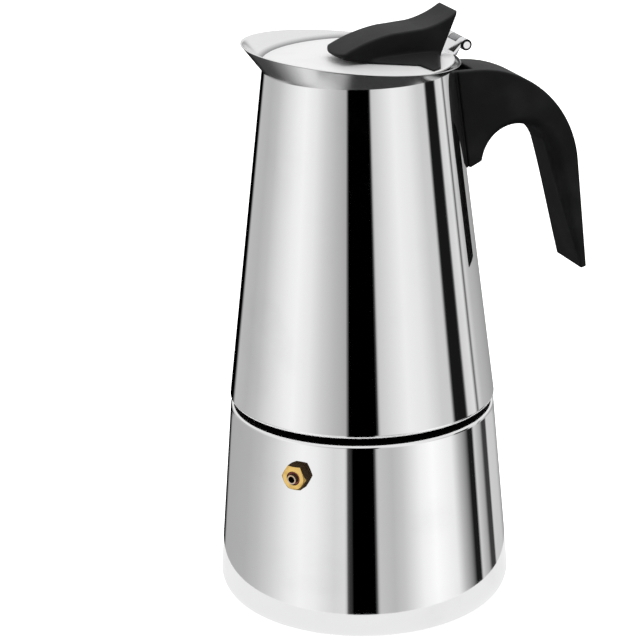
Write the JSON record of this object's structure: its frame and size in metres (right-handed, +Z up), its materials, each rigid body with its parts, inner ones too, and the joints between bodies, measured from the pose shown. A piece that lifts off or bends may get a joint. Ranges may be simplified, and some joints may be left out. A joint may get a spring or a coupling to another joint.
{
  "type": "stovetop coffee maker",
  "caption": "Tapered steel stovetop coffee maker: boiler, drop-in funnel, screw-on upper pot with slanted pouring rim, hinged lid, arched side handle and safety valve.",
  "frame": {"origin": "centre of the boiler's flat base", "axes": "+Z up along the pot's axis, +X towards the handle, -X towards the spout"},
  "size_m": [0.1303, 0.1004, 0.2034],
  "materials": {
    "polished_steel": "mirror polished",
    "plain_steel": "satin",
    "valve_brass": "satin",
    "valve_seal": "dull",
    "seal_rubber": "dull",
    "black_plastic": "fine matte"
  },
  "bodies": {
    "boiler": {"boiler_shell": "polished_steel", "boiler_neck": "plain_steel", "valve_body": "valve_brass", "valve_washer": "seal_rubber", "valve_nut": "valve_brass", "valve_retainer": "valve_seal", "valve_spring": "plain_steel"},
    "valve_piston": {"valve_piston": "valve_brass"},
    "funnel": {"funnel_basket": "plain_steel", "funnel_screen": "plain_steel", "funnel_stem": "plain_steel"},
    "gasket": {"gasket": "seal_rubber"},
    "filter_plate": {"filter_plate": "plain_steel"},
    "upper": {"upper_shell": "polished_steel", "upper_floor": "plain_steel", "thread_ring": "plain_steel", "coffee_column": "polished_steel", "column_cap": "polished_steel", "collar": "polished_steel", "hinge_bracket": "plain_steel", "hinge_pin": "plain_steel", "handle_bracket": "plain_steel", "handle": "black_plastic", "handle_screw": "plain_steel"},
    "lid": {"lid_disc": "polished_steel", "lid_leaf": "plain_steel", "lid_knob": "black_plastic", "knob_screws": "plain_steel"}
  },
  "joints": [
    {"name": "valve_pop", "type": "slide", "parent": "boiler", "child": "valve_piston", "axis": [-0.7547, -0.6561, 0], "range_m": [0, 0.0012], "stiffness_N_per_m": 400, "springref_m": -0.004},
    {"name": "funnel_lift", "type": "slide", "parent": "boiler", "child": "funnel", "axis": [0, 0, 1], "range_m": [0, 0.11]},
    {"name": "upper_lift", "type": "slide", "parent": "funnel", "child": "gasket", "axis": [0, 0, 1], "range_m": [0, 0.06]},
    {"name": "thread_rise", "type": "slide", "parent": "gasket", "child": "filter_plate", "axis": [0, 0, 1], "range_m": [0, 0.0046]},
    {"name": "unscrew", "type": "hinge", "parent": "filter_plate", "child": "upper", "pos_m": [0, 0, 0.0785], "axis": [0, 0, 1], "range_deg": [0, 540]},
    {"name": "lid_hinge", "type": "hinge", "parent": "upper", "child": "lid", "pos_m": [0.0358, 0, 0.1916], "axis": [0, 1, 0], "range_deg": [0, 100]}
  ],
  "couplings": [
    {"joint": "thread_rise", "follows": "unscrew", "m_per_rad": 0.00047746}
  ]
}
